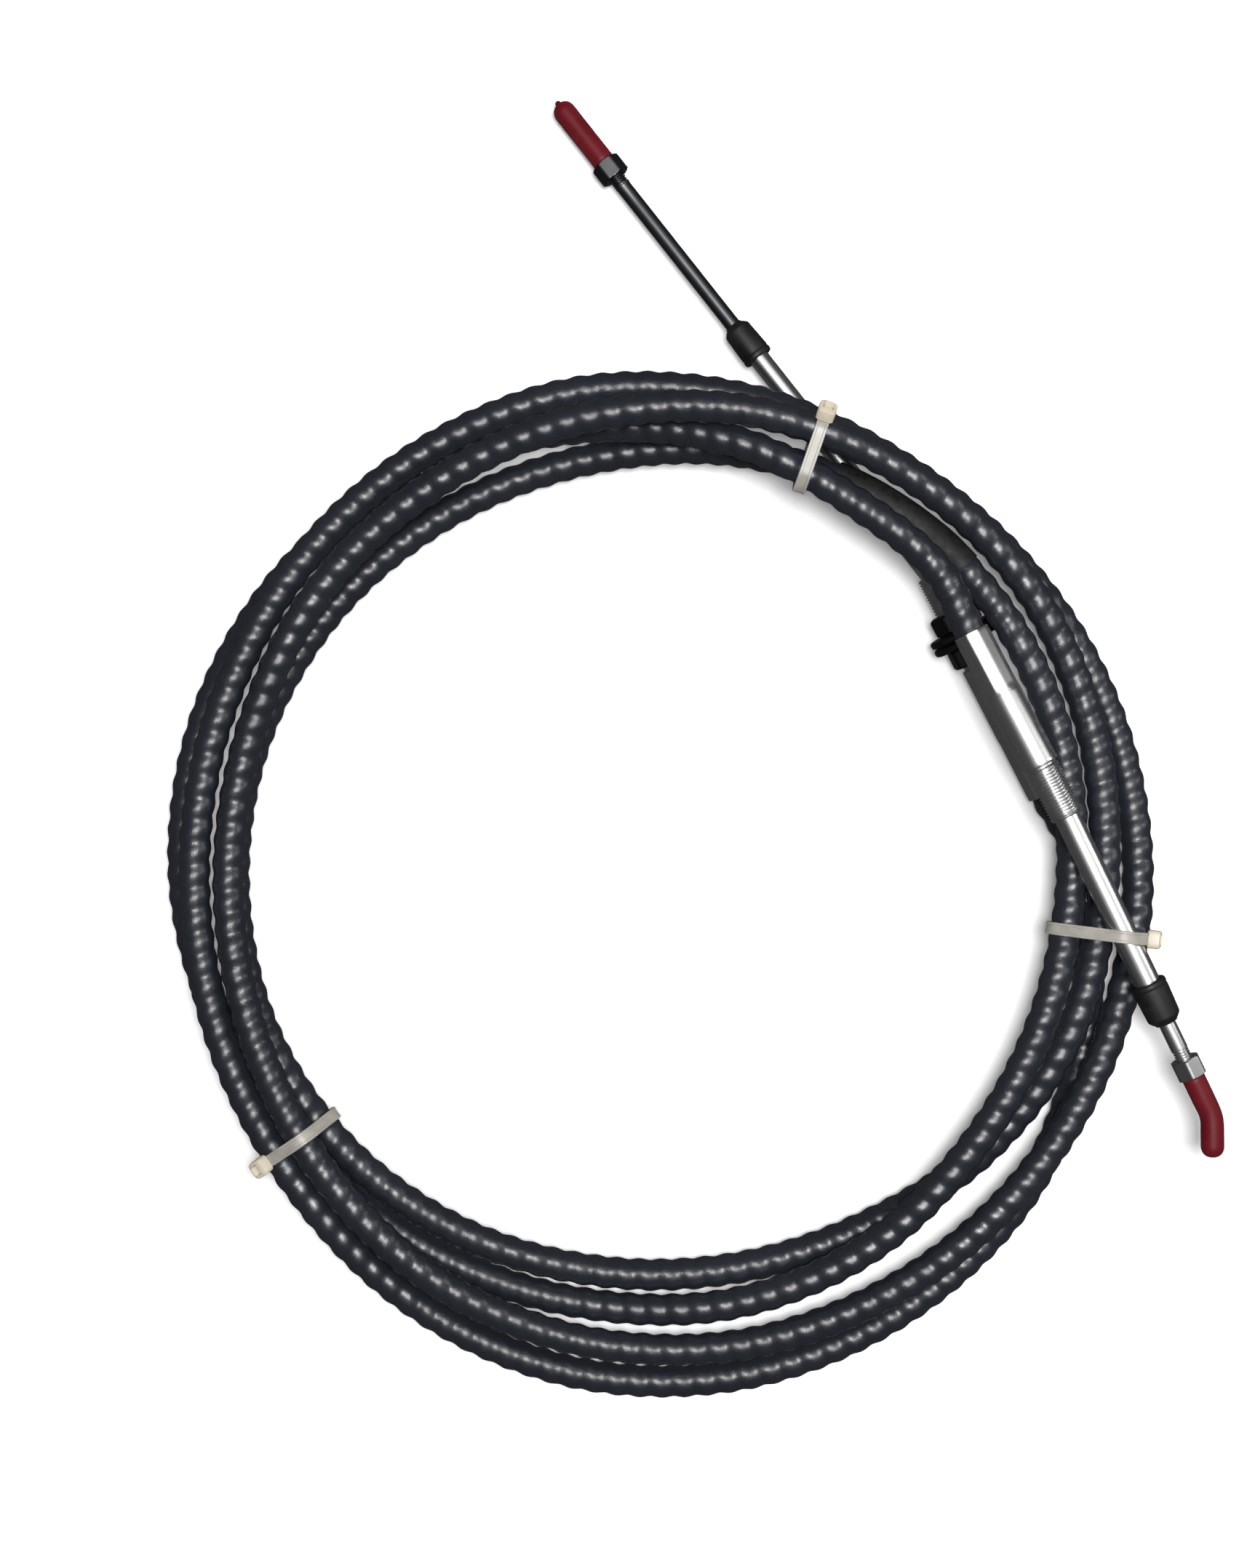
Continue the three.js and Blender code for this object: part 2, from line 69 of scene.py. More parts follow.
# Hubs and what sits on them
BARREL_RADIUS = 8.6
CRIMP_RADIUS = 8.45
CRIMP_FLAT = 8.05
CRIMP_FLATS = 9
CRIMP_LENGTH = 32
BODY_LENGTH = 68.5
THREAD_RADIUS = 8
THREAD_PITCH = 1.5
STEPS_PER_THREAD = 9
SOCKET_RADIUS = 6.5
SOCKET_DEPTH = 16
CORE_HOLE_RADIUS = 3.2
THREAD_DEPTH = 0.85
CORNER = 0.3
WRENCH_FLAT = 8.1
WRENCH_START = 49
WRENCH_LENGTH = 15
WRENCH_EDGE = 0.1
SWIVEL_DEPTH = 6
BALL_RADIUS = 6.2
BALL_HALF = 3
NUT_ACROSS_FLATS = 13
NUT_LENGTH = 9.2
NUT_FACE = 0.965
NUT_CORNER_WEAR = 0.35 / 13
ROD_THREAD_RADIUS = 3.9
ROD_THREAD_PITCH = 1.25
ROD_THREAD_DEPTH = 0.68
AXIS_RADIUS = 0.4
THREAD_SHOWING = 5
ROD_IN_CAP = 16
CAP_BEND_LENGTH = 8
CAP_INNER_GAP = 0.12
CAP_DOME = 5.2
CAP_TIP_RADIUS = 0.05
STROKE = 68
HELD_IN_TUBE = 12
SEAL_NOSE = 6
BULKHEAD_FLATS = 21
BULKHEAD_NUT_LENGTH = 9.1
BULKHEAD_NUT_AT = 19.2
WASHER_RADIUS = 16.2
WASHER_THICKNESS = 3.4
WASHER_SPACE = 0.6
GAP = 0.3

# Ties
LOOSE = 0.5
STRAP_WIDTH = 5.7
STRAP_THICKNESS = 1.3
HEAD_LENGTH = 9
HEAD_WIDTH = 8.4
HEAD_HEIGHT = 6
HEAD_SINK = 0.9
OUTLINE_POINTS = 150

END_A = dict(
    letter="a", mouth=(141.2, 117, 45), heading=-62.4, pitch=0.8, thread=26.5, wrench_turn=60,
    tube_heading=-63.9, tube_pitch=-2, tube_length=84.8, tube_radius=6,
    seal_radius=8.4, seal_length=20.5, rod_radius=3.95, rod_free=18.4, travelled=0,
    cap_radius=5.3, cap_length=39, cap_bend=25, cap_nib=0, nut_turn=21,
)
END_B = dict(
    letter="b", mouth=(181.3, 43.2, 10.3), heading=117.6, pitch=3, thread=47.6, wrench_turn=0,
    tube_heading=128, tube_pitch=-2, tube_length=130.6, tube_radius=4.8,
    seal_radius=7.2, seal_length=19.7, rod_radius=3.6, rod_free=89.5, travelled=STROKE,
    cap_radius=5.3, cap_length=35, cap_bend=0, cap_nib=1.6, nut_turn=5,
)

# Radius and height of the jacket's middle every 20 degrees, from 60 degrees on
TURN_STEP = 20
FIRST_ANGLE = 60
TURNS = [
    (195.5, 48.5), (207, 43.5), (216.5, 24.5), (225.5, 9), (229, 7.6), (229, 7.6), (225, 7.6),
    (217, 7.6), (209, 7.6), (204, 7.6), (201, 7.8), (199, 16), (194.5, 23), (188, 30), (187, 31.5),
    (190, 29), (197, 27), (202, 33), (205.5, 29.5), (206, 21), (203.5, 9), (202.5, 7.6), (203, 7.6),
    (203, 7.6), (201.5, 7.6), (199.5, 7.6), (193.5, 15), (188, 15), (185, 7.6), (184.5, 7.6),
    (188, 7.6), (196, 13.5), (202.5, 23),
    (206, 24.5), (213.5, 22), (219.5, 30.5), (220.5, 43), (220.5, 53), (217, 49.5), (213, 37),
    (209, 32), (204, 24.5), (201.5, 24), (201, 30.5), (205, 29.5), (212, 22), (217, 15),
    (218.5, 17), (218, 20), (218.5, 24), (220.5, 22.5),
    (224.5, 12), (226.5, 7.6), (226.5, 7.6), (225, 24), (230, 27), (232, 32), (229.5, 26),
    (225, 24), (220.5, 23.5), (217.5, 23.5), (217, 23.8), (220, 20), (229, 7.6), (234, 7.6),
    (234.5, 7.6), (231, 7.6), (225, 7.6), (213, 7.6),
]

TIES = [
    dict(name="tie_top", angle=71, head_towards=62),
    dict(name="tie_right", angle=-6, head_towards=40),
    dict(name="tie_left", angle=215, head_towards=30),
]


def direction(heading, pitch):
    h, p = math.radians(heading), math.radians(pitch)
    return np.array([math.cos(p) * math.cos(h), math.cos(p) * math.sin(h), math.sin(p)])


def mouth_of(end):
    return np.array(end["mouth"], dtype=float)


def hub_length(end):
    return BODY_LENGTH + end["thread"]


def swivel_centre(end):
    return mouth_of(end) + direction(end["heading"], end["pitch"]) * (hub_length(end) - SWIVEL_DEPTH)


def placed(origin, heading, pitch):
    """Matrix in metres whose X axis points along a heading and a pitch."""
    h, p = math.radians(heading), math.radians(pitch)
    outward = Vector(direction(heading, pitch))
    side = Vector((-math.sin(h), math.cos(h), 0))
    up = Vector((-math.sin(p) * math.cos(h), -math.sin(p) * math.sin(h), math.cos(p)))
    turn = Matrix((outward, side, up)).transposed().to_4x4()
    where = Vector([(o + c) * MM for o, c in zip(origin, COIL_AT)])
    return Matrix.Translation(where) @ turn


# Camera
camera_data = bpy.data.cameras.new("camera")
camera = bpy.data.objects.new("camera", camera_data)
bpy.context.scene.collection.objects.link(camera)
camera.location = CAMERA_AT
camera_data.sensor_fit = "VERTICAL"
camera_data.angle = math.radians(CAMERA_HEIGHT_ANGLE)
camera_data.clip_end = 20
bpy.context.scene.camera = camera


# Route of the jacket
def route_points():
    def at_end(end, outwards):
        return mouth_of(end) + direction(end["heading"], end["pitch"]) * outwards

    points = [at_end(END_A, CRIMP_DEPTH), at_end(END_A, -MOUTH_BACK), at_end(END_A, -LEAD_LENGTH)]
    for i, (radius, height) in enumerate(TURNS):
        angle = math.radians(FIRST_ANGLE + TURN_STEP * i)
        points.append(np.array([radius * math.cos(angle), radius * math.sin(angle), height]))
    points += [at_end(END_B, -LEAD_LENGTH), at_end(END_B, -MOUTH_BACK), at_end(END_B, CRIMP_DEPTH)]
    return np.array(points)


def smooth_line(points, per_span=40):
    """Centripetal Catmull-Rom curve through the points."""
    all_points = np.vstack([2 * points[0] - points[1], points, 2 * points[-1] - points[-2]])
    line = []
    for i in range(1, len(all_points) - 2):
        p0, p1, p2, p3 = all_points[i - 1:i + 3]
        d0, d1, d2 = (np.linalg.norm(q - p) ** 0.5 for p, q in ((p0, p1), (p1, p2), (p2, p3)))
        t1 = ((p1 - p0) / d0 - (p2 - p0) / (d0 + d1) + (p2 - p1) / d1) * d1
        t2 = ((p2 - p1) / d1 - (p3 - p1) / (d1 + d2) + (p3 - p2) / d2) * d1
        for t in np.arange(per_span) / per_span:
            square, cube = t * t, t ** 3
            line.append(p1 + t1 * t + (3 * (p2 - p1) - 2 * t1 - t2) * square
                        + (2 * (p1 - p2) + t1 + t2) * cube)
    line.append(all_points[-2])
    line = np.array(line)
    line[:, 2] = np.maximum(line[:, 2], JACKET_RADIUS)
    return line


def lengths_along(line):
    return np.concatenate([[0], np.cumsum(np.linalg.norm(np.diff(line, axis=0), axis=1))])


def resampled(line, spacing):
    travelled = lengths_along(line)
    count = int(round(travelled[-1] / spacing)) + 1
    at = np.linspace(0, travelled[-1], count)
    return np.stack([np.interp(at, travelled, line[:, k]) for k in range(3)], axis=1), at


def frames_along(line):
    """Two directions across the line at each point, that don't twist more than they must."""
    run = np.gradient(line, axis=0)
    run /= np.linalg.norm(run, axis=1)[:, None]
    first = np.cross([0, 0, 1], run[0])
    first /= np.linalg.norm(first)
    firsts = [first]
    for direction_now in run[1:]:
        first = firsts[-1] - direction_now * np.dot(firsts[-1], direction_now)
        firsts.append(first / np.linalg.norm(first))
    firsts = np.array(firsts)
    return firsts, np.cross(run, firsts)


def rings_round(line, across, up, radii, angles):
    """Rings of points round the line. radii has a row for each point, or is one number."""
    sideways = np.cos(angles)[None, :, None] * across[:, None, :]
    upwards = np.sin(angles)[None, :, None] * up[:, None, :]
    reach = np.broadcast_to(radii, (len(line), len(angles)))
    return line[:, None, :] + reach[..., None] * (sideways + upwards)


# Meshes
def grid_mesh(name, rings, lengths, loop=False, sharp=40):
    """A surface through rings of points: rings[i][j], i along the piece and j round it."""
    rings = np.asarray(rings, dtype=float)
    count, sides = rings.shape[:2]
    vertices = rings.reshape(-1, 3) * MM
    rows = np.arange(count if loop else count - 1)
    i, j = np.meshgrid(rows, np.arange(sides), indexing="ij")
    next_i, next_j = (i + 1) % count, (j + 1) % sides
    quads = np.stack([i * sides + j, i * sides + next_j, next_i * sides + next_j,
                      next_i * sides + j], axis=-1).reshape(-1, 4)
    faces = quads.tolist()
    if not loop:
        faces.append(list(range(sides))[::-1])
        faces.append([(count - 1) * sides + k for k in range(sides)])
    mesh = bpy.data.meshes.new(name)
    mesh.from_pydata(vertices.tolist(), [], faces)
    layer = mesh.uv_layers.new(name="UVMap")
    lengths = np.asarray(lengths, dtype=float) * MM
    last = lengths[-1] + (lengths[-1] - lengths[-2])
    along = np.append(lengths, last)
    coords = np.zeros((len(mesh.loops), 2))
    u = np.stack([along[i], along[i], along[i + 1], along[i + 1]], axis=-1).reshape(-1)
    v = np.stack([j, j + 1, j + 1, j], axis=-1).reshape(-1) / sides
    coords[:len(u), 0] = u
    coords[:len(v), 1] = v
    layer.data.foreach_set("uv", coords.reshape(-1))
    mesh.polygons.foreach_set("use_smooth", np.ones(len(mesh.polygons), dtype=bool))
    mesh.update()
    if signed_volume(mesh) < 0:
        mesh.flip_normals()
    mesh.set_sharp_from_angle(angle=math.radians(sharp))
    return mesh


def signed_volume(mesh):
    mesh.calc_loop_triangles()
    points = np.empty(len(mesh.vertices) * 3)
    mesh.vertices.foreach_get("co", points)
    points = points.reshape(-1, 3)
    corners = np.empty(len(mesh.loop_triangles) * 3, dtype=np.int64)
    mesh.loop_triangles.foreach_get("vertices", corners)
    a, b, c = (points[corners.reshape(-1, 3)[:, k]] for k in range(3))
    return float(np.sum(a * np.cross(b, c)) / 6)


def piece(name, mesh, material, body, stands_for=(), matrix=None):
    thing = bpy.data.objects.new(name, mesh)
    bpy.context.scene.collection.objects.link(thing)
    if matrix is not None:
        mesh.transform(matrix)
    mesh.materials.clear()
    mesh.materials.append(material)
    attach(thing, body)
    if stands_for:
        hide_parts(*stands_for)
    return thing


def softened(profile, radius=0.35, closed=True):
    """The profile with each of its corners rounded by a short three-point curve."""
    points = np.array(profile, dtype=float)
    count = len(points)
    result = []
    for k in range(count):
        if not closed and k in (0, count - 1):
            result.append(points[k])
            continue
        before, here, after = points[k - 1], points[k], points[(k + 1) % count]
        to_before, to_after = before - here, after - here
        if abs(to_before[0] * to_after[1] - to_before[1] * to_after[0]) < 1e-9:
            result.append(here)
            continue
        reach_before, reach_after = np.linalg.norm(to_before), np.linalg.norm(to_after)
        cut = min(radius, 0.45 * reach_before, 0.45 * reach_after)
        start = here + to_before / reach_before * cut
        finish = here + to_after / reach_after * cut
        for t in (0, 0.5, 1):
            result.append((1 - t) ** 2 * start + 2 * t * (1 - t) * here + t * t * finish)
    return np.array(result)


def stepped(profile, step_between, closed=True):
    """The profile with points added, so that a span's points are no further apart than its step."""
    points = np.array(profile, dtype=float)
    count = len(points)
    result = []
    for k in range(count if closed else count - 1):
        here, after = points[k], points[(k + 1) % count]
        parts = max(1, math.ceil(abs(after[0] - here[0]) / step_between(here, after)))
        result += [here + (after - here) * part / parts for part in range(parts)]
    if not closed:
        result.append(points[-1])
    return np.array(result)


def lathe_rings(profile, sides, radius_at=None):
    """Rings about +X for each (x, r) of the profile. radius_at(x, r, angles) can reshape them."""
    angles = 2 * math.pi * np.arange(sides) / sides
    rings = []
    for x, r in profile:
        radii = np.full(sides, r) if radius_at is None else radius_at(x, r, angles)
        rings.append(np.stack([np.full(sides, x), -radii * np.sin(angles), radii * np.cos(angles)],
                              axis=-1))
    return np.array(rings)


def profile_lengths(profile):
    return lengths_along(np.asarray(profile, dtype=float))


def thread_depth(x, angles, pitch, depth):
    """How far a thread's surface lies below its crest, for a 60 degree thread."""
    phase = np.mod(x / pitch - angles / (2 * math.pi), 1)
    off_root = np.abs(2 * phase - 1)
    return depth * (1 - np.clip((off_root - 0.22) / (0.88 - 0.22), 0, 1))


# Materials
def new_material(name):
    material = bpy.data.materials.new(name)
    material.use_nodes = True
    tree = material.node_tree
    tree.nodes.clear()
    output = tree.nodes.new("ShaderNodeOutputMaterial")
    shader = tree.nodes.new("ShaderNodeBsdfPrincipled")
    tree.links.new(shader.outputs["BSDF"], output.inputs["Surface"])
    return material, tree, shader


def noise(tree, scale, detail=4, roughness=0.55, stretch=(1, 1, 1), source="Object"):
    coordinates = tree.nodes.new("ShaderNodeTexCoord")
    mapping = tree.nodes.new("ShaderNodeMapping")
    mapping.inputs["Scale"].default_value = stretch
    texture = tree.nodes.new("ShaderNodeTexNoise")
    texture.inputs["Scale"].default_value = scale
    texture.inputs["Detail"].default_value = detail
    texture.inputs["Roughness"].default_value = roughness
    tree.links.new(coordinates.outputs[source], mapping.inputs["Vector"])
    tree.links.new(mapping.outputs["Vector"], texture.inputs["Vector"])
    return texture.outputs["Fac"]


def spread(tree, value, low, high, from_low=0.3, from_high=0.7):
    node = tree.nodes.new("ShaderNodeMapRange")
    node.inputs["From Min"].default_value = from_low
    node.inputs["From Max"].default_value = from_high
    node.inputs["To Min"].default_value = low
    node.inputs["To Max"].default_value = high
    tree.links.new(value, node.inputs["Value"])
    return node.outputs["Result"]


def two_colours(tree, value, first, second, start=0.3, end=0.7):
    ramp = tree.nodes.new("ShaderNodeValToRGB")
    ramp.color_ramp.elements[0].position = start
    ramp.color_ramp.elements[0].color = (*first, 1)
    ramp.color_ramp.elements[1].position = end
    ramp.color_ramp.elements[1].color = (*second, 1)
    tree.links.new(value, ramp.inputs["Fac"])
    return ramp.outputs["Color"]


def bump(tree, height, distance, strength=1.0, over=None):
    node = tree.nodes.new("ShaderNodeBump")
    node.inputs["Distance"].default_value = distance
    node.inputs["Strength"].default_value = strength
    tree.links.new(height, node.inputs["Height"])
    if over is not None:
        tree.links.new(over, node.inputs["Normal"])
    return node.outputs["Normal"]


def jacket_material():
    material, tree, shader = new_material("jacket_ribbed")
    broad = noise(tree, 16, 3)
    fine = noise(tree, 1100, 3, 0.6)
    dents = noise(tree, 330, 2, 0.5)
    drawn = noise(tree, 60, 4, 0.6, (0.25, 30, 1), "UV")
    tree.links.new(two_colours(tree, broad, (0.0125, 0.0140, 0.0200), (0.0175, 0.0195, 0.0275)),
                   shader.inputs["Base Color"])
    tree.links.new(spread(tree, dents, 0.25, 0.33), shader.inputs["Roughness"])
    surface = bump(tree, drawn, 0.00010, 0.3)
    surface = bump(tree, dents, 0.00022, 0.45, surface)
    tree.links.new(bump(tree, fine, 0.00003, 0.4, surface), shader.inputs["Normal"])
    shader.inputs["Specular IOR Level"].default_value = 0.6
    return material


def sleeve_material():
    material, tree, shader = new_material("sleeve_matt")
    mottle = noise(tree, 260, 5, 0.65)
    tree.links.new(two_colours(tree, mottle, (0.0035, 0.0035, 0.004), (0.012, 0.012, 0.013)),
                   shader.inputs["Base Color"])
    tree.links.new(spread(tree, mottle, 0.5, 0.75), shader.inputs["Roughness"])
    tree.links.new(bump(tree, mottle, 0.0004, 0.6), shader.inputs["Normal"])
    shader.inputs["Specular IOR Level"].default_value = 0.3
    return material


def steel_material(name, first, second, rough_low, rough_high, marks=0.000004):
    """Metal with stains and fine marks that run along the piece."""
    material, tree, shader = new_material(name)
    drawn_marks = noise(tree, 40, 4, 0.6, (0.6, 9, 1), "UV")
    stains = noise(tree, 45, 5, 0.6)
    tree.links.new(two_colours(tree, stains, first, second), shader.inputs["Base Color"])
    tree.links.new(spread(tree, drawn_marks, rough_low, rough_high), shader.inputs["Roughness"])
    tree.links.new(bump(tree, drawn_marks, marks, 0.4), shader.inputs["Normal"])
    shader.inputs["Metallic"].default_value = 1
    return material


def rubber_material():
    material, tree, shader = new_material("seal_rubber")
    grain = noise(tree, 1500, 3, 0.6)
    wear = noise(tree, 130, 4, 0.6)
    tree.links.new(two_colours(tree, wear, (0.004, 0.004, 0.0045), (0.011, 0.011, 0.012)),
                   shader.inputs["Base Color"])
    tree.links.new(spread(tree, wear, 0.45, 0.62), shader.inputs["Roughness"])
    tree.links.new(bump(tree, grain, 0.00008, 0.5), shader.inputs["Normal"])
    shader.inputs["Specular IOR Level"].default_value = 0.35
    return material


def cap_material():
    material, tree, shader = new_material("cap_vinyl")
    speckle = noise(tree, 1800, 2, 0.5)
    patches = noise(tree, 90, 4, 0.6)
    tree.links.new(two_colours(tree, patches, (0.105, 0.0028, 0.0070), (0.150, 0.0045, 0.0105)),
                   shader.inputs["Base Color"])
    tree.links.new(spread(tree, patches, 0.46, 0.58), shader.inputs["Roughness"])
    tree.links.new(bump(tree, speckle, 0.00006, 0.5), shader.inputs["Normal"])
    shader.inputs["Specular IOR Level"].default_value = 0.25
    shader.inputs["Subsurface Weight"].default_value = 0.05
    shader.inputs["Subsurface Radius"].default_value = (0.002, 0.0006, 0.0004)
    return material


def nylon_material(name, thin, thick):
    material, tree, shader = new_material(name)
    cloud = noise(tree, 150, 3, 0.5)
    tree.links.new(two_colours(tree, cloud, thin, thick), shader.inputs["Base Color"])
    tree.links.new(spread(tree, cloud, 0.34, 0.46), shader.inputs["Roughness"])
    tree.links.new(bump(tree, noise(tree, 700, 2), 0.00004, 0.4), shader.inputs["Normal"])
    shader.inputs["Subsurface Weight"].default_value = 0.25
    shader.inputs["Subsurface Radius"].default_value = (0.002, 0.0018, 0.0014)
    shader.inputs["Subsurface Scale"].default_value = 1
    return material


JACKET = jacket_material()
SLEEVE = sleeve_material()
STEEL = steel_material("steel_polished", (0.70, 0.70, 0.71), (0.80, 0.80, 0.80), 0.25, 0.30)
# Rod b's steel: painted shade, the same polished steel as rod a made dark because it reflects the dark room.
SHADED_ROD_STEEL = steel_material("rod_steel_painted_shade", (0.090, 0.092, 0.098), (0.130, 0.132, 0.140), 0.34, 0.42)
ZINC = steel_material("nut_zinc", (0.42, 0.42, 0.425), (0.56, 0.56, 0.56), 0.26, 0.36)
# Nut b's zinc: painted shade, the same plated nut as nut a made dark because it lies away from the light.
SHADED_NUT_ZINC = steel_material("nut_zinc_painted_shade", (0.060, 0.061, 0.065), (0.100, 0.101, 0.105), 0.32, 0.44)
# Bulkhead nuts and washers: steel with painted shade, made dark because they lie under hub a in its shadow.
# They have no oxide finish.
SHADED_BULKHEAD_STEEL = steel_material("bulkhead_steel_painted_shade", (0.030, 0.030, 0.033), (0.055, 0.055, 0.058), 0.38, 0.50)
RUBBER = rubber_material()
VINYL = cap_material()
STRAP_NYLON = nylon_material("tie_strap", (0.30, 0.285, 0.255), (0.40, 0.38, 0.335))
HEAD_NYLON = nylon_material("tie_head", (0.55, 0.48, 0.36), (0.66, 0.60, 0.48))


# Cable jacket
centre_line = smooth_line(route_points())
jacket_line, jacket_at = resampled(centre_line, RIB_PITCH / RINGS_PER_RIB)
across, up = frames_along(jacket_line)
jacket_angles = 2 * math.pi * np.arange(JACKET_SIDES) / JACKET_SIDES
rib_phase = 2 * math.pi * jacket_at[:, None] / RIB_PITCH - jacket_angles[None, :]
rib = 0.5 + 0.5 * np.cos(rib_phase)
jacket_radii = JACKET_RADIUS - RIB_HEIGHT * (1 - rib ** RIB_SHARPNESS)
in_hub = np.minimum(jacket_at, jacket_at[-1] - jacket_at) < CRIMP_DEPTH - 1
jacket_radii[in_hub] = JACKET_RADIUS - RIB_HEIGHT / 2
jacket_rings = rings_round(jacket_line, across, up, jacket_radii, jacket_angles)
jacket_mesh = grid_mesh("jacket", jacket_rings + np.array(COIL_AT), jacket_at, sharp=80)
jacket = piece("jacket", jacket_mesh, JACKET, "cable", ["cable_jacket"])


# Sleeve round the jacket
route_length = jacket_at[-1]
sleeve_from, sleeve_to = (route_length * step / JACKET_STEPS for step in SLEEVE_STEPS)
sleeve_at = np.linspace(sleeve_from, sleeve_to, SLEEVE_RINGS)
sleeve_line = np.stack([np.interp(sleeve_at, jacket_at, jacket_line[:, k]) for k in range(3)], axis=1)
sleeve_across, sleeve_up = frames_along(sleeve_line)
sleeve_angles = 2 * math.pi * np.arange(SLEEVE_SIDES) / SLEEVE_SIDES
seeded = np.random.default_rng(4)
lumps = sum(
    SLEEVE_LUMP * np.cos(k * sleeve_angles[None, :] + seeded.uniform(0, 6.3)
                  + sleeve_at[:, None] * seeded.uniform(0.1, 0.5))
    for k in range(1, 5)
)
from_end = np.minimum(sleeve_at - sleeve_from, sleeve_to - sleeve_at)
sleeve_radii = SLEEVE_RADIUS + SLEEVE_SWELL * np.clip(from_end[:, None] / 3, 0, 1) + lumps
sleeve_outer = rings_round(sleeve_line, sleeve_across, sleeve_up, sleeve_radii, sleeve_angles)
sleeve_inner = rings_round(sleeve_line, sleeve_across, sleeve_up, SLEEVE_INNER_RADIUS, sleeve_angles)[::-1]
sleeve_rings = np.concatenate([sleeve_outer, sleeve_inner]) + np.array(COIL_AT)
sleeve_mesh = grid_mesh("sleeve", sleeve_rings, np.arange(len(sleeve_rings)) * 1.25, loop=True)
piece("sleeve", sleeve_mesh, SLEEVE, "cable", ["black_sleeve"])


# Hubs
def hub(end):
    length = hub_length(end)
    bore = JACKET_RADIUS + GAP
    wrench_end = WRENCH_START + WRENCH_LENGTH
    outline = softened([
        (0, bore), (0, CRIMP_RADIUS), (CRIMP_LENGTH - 1, CRIMP_RADIUS), (CRIMP_LENGTH, BARREL_RADIUS),
        (WRENCH_START - WRENCH_EDGE, BARREL_RADIUS), (WRENCH_START + WRENCH_EDGE, BARREL_RADIUS),
        (wrench_end - WRENCH_EDGE, BARREL_RADIUS), (wrench_end + WRENCH_EDGE, BARREL_RADIUS),
        (BODY_LENGTH - 0.1, BARREL_RADIUS),
        (BODY_LENGTH, THREAD_RADIUS - 0.7), (BODY_LENGTH + 1.3, THREAD_RADIUS - 0.9),
        (BODY_LENGTH + 2, THREAD_RADIUS), (length - 0.9, THREAD_RADIUS),
        (length, THREAD_RADIUS - 1), (length, SOCKET_RADIUS),
        (length - SOCKET_DEPTH, SOCKET_RADIUS), (length - SOCKET_DEPTH, CORE_HOLE_RADIUS),
        (CRIMP_DEPTH + GAP, CORE_HOLE_RADIUS), (CRIMP_DEPTH + GAP, bore),
    ], CORNER)
    thread_start, thread_end = BODY_LENGTH + 1.8, length - 0.5

    def step_between(here, after):
        outside = min(here[1], after[1]) > THREAD_RADIUS - 0.2
        if outside and min(here[0], after[0]) > BODY_LENGTH + 1:
            return THREAD_PITCH / STEPS_PER_THREAD
        return 1.5 if outside else 40

    profile = stepped(outline, step_between)
    turn = math.radians(end["wrench_turn"])

    def radius_at(x, r, angles):
        radii = np.full(len(angles), float(r))
        if r < THREAD_RADIUS - 1.2:
            return radii
        if x < CRIMP_LENGTH - 0.5 and r > bore + 0.05:
            facet = 2 * math.pi / CRIMP_FLATS
            off = np.mod(angles + facet * 0.28, facet) - facet / 2
            depth = np.clip((CRIMP_LENGTH - 1.5 - x) / 1.2, 0, 1)
            flat = np.minimum(radii, (CRIMP_FLAT - (CRIMP_RADIUS - r)) / np.cos(off))
            radii = radii + (flat - radii) * depth
        if WRENCH_START < x < wrench_end and r > THREAD_RADIUS:
            facing = np.abs(np.cos(angles + turn))
            radii = np.minimum(radii, WRENCH_FLAT / np.maximum(facing, 0.2))
        if thread_start < x < thread_end and r > THREAD_RADIUS - 0.75:
            ease = np.clip(min(x - thread_start, thread_end - x) / 1.5, 0, 1)
            radii = radii - thread_depth(x, angles, THREAD_PITCH, THREAD_DEPTH) * ease
        return radii

    rings = lathe_rings(profile, 72, radius_at)
    mesh = grid_mesh("hub_" + end["letter"], rings, profile_lengths(profile), loop=True, sharp=32)
    return piece("hub_" + end["letter"], mesh, STEEL, "cable",
                 ["crimped_hub_" + end["letter"]],
                 placed(mouth_of(end), end["heading"], end["pitch"]))


# Swivel tubes, seals, rods, nuts and caps
def seal_start(end):
    return SWIVEL_DEPTH + end["tube_length"]


def seal_end(end):
    return seal_start(end) + end["seal_length"]


def nut_start(end):
    return seal_end(end) + end["rod_free"]


def cap_start(end):
    return nut_start(end) + NUT_LENGTH + GAP


def swivel_matrix(end):
    return placed(swivel_centre(end), end["tube_heading"], end["tube_pitch"])


def swivel_tube(end):
    bore = end["rod_radius"] + GAP
    tube_end = seal_end(end) - SEAL_NOSE - GAP
    radius = end["tube_radius"]
    ball = [(BALL_RADIUS * math.sin(a), BALL_RADIUS * math.cos(a))
            for a in np.radians(np.linspace(-28, 10, 7))]
    profile = softened(
        [(-BALL_HALF, bore)] + ball + [(BALL_HALF, radius), (tube_end, radius), (tube_end, bore)], 0.25)
    profile = stepped(profile, lambda here, after: 10)
    mesh = grid_mesh("tube_" + end["letter"], lathe_rings(profile, 64), profile_lengths(profile), loop=True)
    return piece("tube_" + end["letter"], mesh, STEEL, "cable",
                 ["swivel_tube_" + end["letter"]], swivel_matrix(end))


